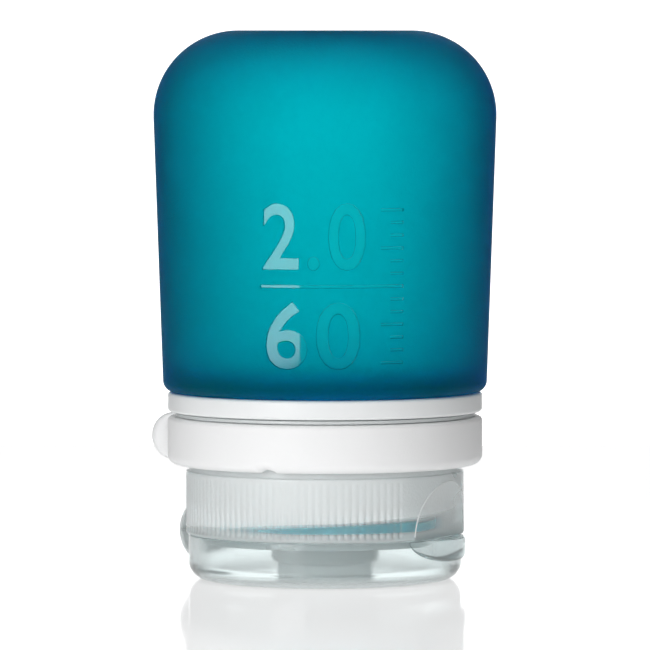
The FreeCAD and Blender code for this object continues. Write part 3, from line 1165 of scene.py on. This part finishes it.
def bandSection(reach, low):
    s = bandSpec
    full = (bandHigh - bandLow) / 2
    swell = smoothStep((reach - s["radius"]) / s["tabSwell"])
    lowRound = s["lowRound"] + swell * (full - 0.01 - s["lowRound"])
    topRound = s["topRound"] + swell * (full - 0.01 - s["topRound"])
    inner = s["innerRound"]
    corners = (
        (s["bore"] + inner, low + inner, inner, pi, s["innerSteps"]),
        (reach - lowRound, low + lowRound, lowRound, 1.5 * pi, s["outerSteps"]),
        (reach - topRound, bandHigh - topRound, topRound, 2 * pi, s["outerSteps"]),
        (s["bore"] + inner, bandHigh - inner, inner, 2.5 * pi, s["innerSteps"]),
    )
    points = []
    for x, z, rounding, start, steps in corners:
        for step in range(steps + 1):
            bend = start + pi / 2 * step / steps
            points.append((x + rounding * cos(bend), z + rounding * sin(bend)))
    return points


def makeBand():
    s = bandSpec
    half = tabOutline()
    rootTurn = half[-1][0]
    plain = ceil(degrees(2 * (pi - rootTurn)) / s["step"])
    sections = [(-turn, reach) for turn, reach in half[::-1]] + half[1:]
    sections += [(rootTurn + 2 * (pi - rootTurn) * k / plain, s["radius"]) for k in range(1, plain)]
    halfNotch = s["notchWidth"] / 2 / s["radius"]
    for notch in (pi / 2, 1.5 * pi):  # finer sections over the two small arches
        sections = [one for one in sections if abs(one[0] - notch) > halfNotch]
        steps = range(-s["notchSteps"], s["notchSteps"] + 1)
        sections += [(notch + halfNotch * step / s["notchSteps"], s["radius"]) for step in steps]
    sections.sort()
    arch = chordRadius(s["notchWidth"] / 2, s["notchHeight"])
    work = bmesh.new()
    rings = []
    for turn, reach in sections:
        across = s["radius"] * min(abs(turn - pi / 2), abs(turn - 1.5 * pi))
        raised = 0.0
        if across < s["notchWidth"] / 2:
            raised = s["notchHeight"] - arch + sqrt(arch ** 2 - across ** 2)
        around = tabTurn + turn
        section = bandSection(reach, bandLow + raised)
        rings.append([work.verts.new(polar(r, around, z)) for r, z in section])
    skin(work, rings + rings[:1])
    bmesh.ops.recalc_face_normals(work, faces=work.faces)
    band = fromMesh("loopBand", work, bandWhite)
    shade(band, 40)
    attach(band, "loop")
    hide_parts("loop_band")
    return band


loopBand = makeBand()
print("loop band made,", len(loopBand.data.polygons), "faces")


# Studio: small lit white table, dim room with a white backdrop, lights and camera

studioSpec = {
    "tableWidth": 0.18,
    "tableFront": 0.10,  # the table ends this far in front of the bottle
    "tableBack": 0.25,
    "tableGlow": 0.80,
    "mirror": 0.28,  # share of the table's surface that mirrors
    "backdrop": 1.5,
    "roomDim": 0.18,
    "floorDark": 0.04,  # below the table's level
    # name, degrees from the front (negative to the left), degrees up, distance, width, height, brightness
    "lights": (
        ("softbox", -31, 11.0, 0.30, 0.154, 0.20, 4.1),
        ("keyLight", 14, 14, 0.9, 0.8, 0.3, 2.2),
        ("overheadLight", 0, 89, 1.2, 0.6, 0.6, 2.5),
        ("backLight", 180, 15.7, 0.10, 0.046, 0.070, 1.42),
        ("topBackLight", 180, 32.0, 0.10, 0.080, 0.030, 1.12),
        ("lowCard", 180, -9.5, 0.13, 0.100, 0.020, 1.2),
    ),
    "roundLights": ("backLight", "topBackLight"),
    "cameraDistance": 0.780,
    "cameraHeight": bodyEnd * mm,
    "aimHeight": 33.05 * mm,
    "lens": 332.0,
}


def tableMaterial():
    # self-lit white sheet with a faint mirror image and a painted contact shadow under the lid
    material, tree, bsdf = newMaterial("paleTable")
    setInputs(bsdf, {
        "Base Color": (0.34, 0.34, 0.34, 1),
        "Roughness": 1.0,
        "Specular IOR Level": 0.0,
        "Emission Color": (1, 1, 1, 1),
    })
    place = tree.nodes.new("ShaderNodeTexCoord")
    reach = tree.nodes.new("ShaderNodeVectorMath")
    reach.operation = "LENGTH"
    tree.links.new(place.outputs["Object"], reach.inputs[0])
    glow = studioSpec["tableGlow"]  # painted contact shadow: the glow is dimmer right under the lid
    under = mapped(tree, reach.outputs["Value"], 15.0 * mm, 18.5 * mm, 0.75 * glow, glow)
    tree.links.new(under, bsdf.inputs["Emission Strength"])
    gloss = tree.nodes.new("ShaderNodeBsdfGlossy")
    setInputs(gloss, {"Roughness": 0.08})
    blend = tree.nodes.new("ShaderNodeMixShader")
    setInputs(blend, {0: studioSpec["mirror"]})
    connect(
        tree,
        (bsdf.outputs[0], blend.inputs[1]),
        (gloss.outputs[0], blend.inputs[2]),
        (blend.outputs[0], tree.nodes["Material Output"].inputs["Surface"]),
    )
    return material


def makeTable():
    half = studioSpec["tableWidth"] / 2
    front, back = -studioSpec["tableFront"], studioSpec["tableBack"]
    data = bpy.data.meshes.new("table")
    corners = [(-half, front, 0), (half, front, 0), (half, back, 0), (-half, back, 0)]
    data.from_pydata(corners, [], [(0, 1, 2, 3)])
    data.materials.append(tableMaterial())
    table = newObject("table", data)


def makeRoom():
    world = bpy.data.worlds.new("studioRoom")
    bpy.context.scene.world = world
    world.use_nodes = True
    tree = world.node_tree
    background = tree.nodes["Background"]
    place = tree.nodes.new("ShaderNodeTexCoord")
    split = tree.nodes.new("ShaderNodeSeparateXYZ")
    path = tree.nodes.new("ShaderNodeLightPath")
    tree.links.new(place.outputs["Generated"], split.inputs[0])
    bounced = mathNode(tree, "SUBTRACT", path.outputs["Is Glossy Ray"], path.outputs["Is Transmission Ray"])
    mirrored = mathNode(tree, "MULTIPLY", mapped(tree, split.outputs["Y"], 0.93, 0.97, 0.0, 1.0), bounced)
    seen = mathNode(tree, "MAXIMUM", path.outputs["Is Camera Ray"], mirrored)
    level = mathNode(tree, "MULTIPLY", seen, studioSpec["backdrop"])
    room = mapped(tree, split.outputs["Z"], -0.10, 0.0, studioSpec["floorDark"], studioSpec["roomDim"])
    tree.links.new(mathNode(tree, "MAXIMUM", level, room), background.inputs["Strength"])
    background.inputs["Color"].default_value = (1, 1, 1, 1)


def makeLights():
    target = Vector((0, 0, studioSpec["aimHeight"]))
    for name, turn, rise, distance, width, height, bright in studioSpec["lights"]:
        light = bpy.data.lights.new(name, "AREA")
        light.shape = "ELLIPSE" if name in studioSpec["roundLights"] else "RECTANGLE"
        light.size = width
        light.size_y = height
        light.energy = bright * pi * width * height
        lamp = newObject(name, light)
        across, up = radians(turn), radians(rise)
        away = Vector((sin(across) * cos(up), -cos(across) * cos(up), sin(up)))
        lamp.location = target + away * distance
        lamp.rotation_euler = away.to_track_quat("Z", "Y").to_euler()


def makeCamera():
    s = studioSpec
    lens = bpy.data.cameras.new("camera")
    lens.lens = s["lens"]
    lens.sensor_width = 36
    lens.clip_start = 0.01
    lens.clip_end = 50
    camera = newObject("camera", lens)
    camera.location = (0, -s["cameraDistance"], s["cameraHeight"])
    aim = Vector((0, 0, s["aimHeight"])) - camera.location
    camera.rotation_euler = aim.to_track_quat("-Z", "Y").to_euler()
    bpy.context.scene.camera = camera


makeTable()
makeRoom()
makeLights()
makeCamera()

scene = bpy.context.scene
scene.view_settings.view_transform = "Standard"
scene.view_settings.look = "None"
scene.cycles.max_bounces = 24
scene.cycles.transmission_bounces = 24
scene.cycles.glossy_bounces = 8
scene.cycles.diffuse_bounces = 6
scene.cycles.use_denoising = True
print("studio ready")
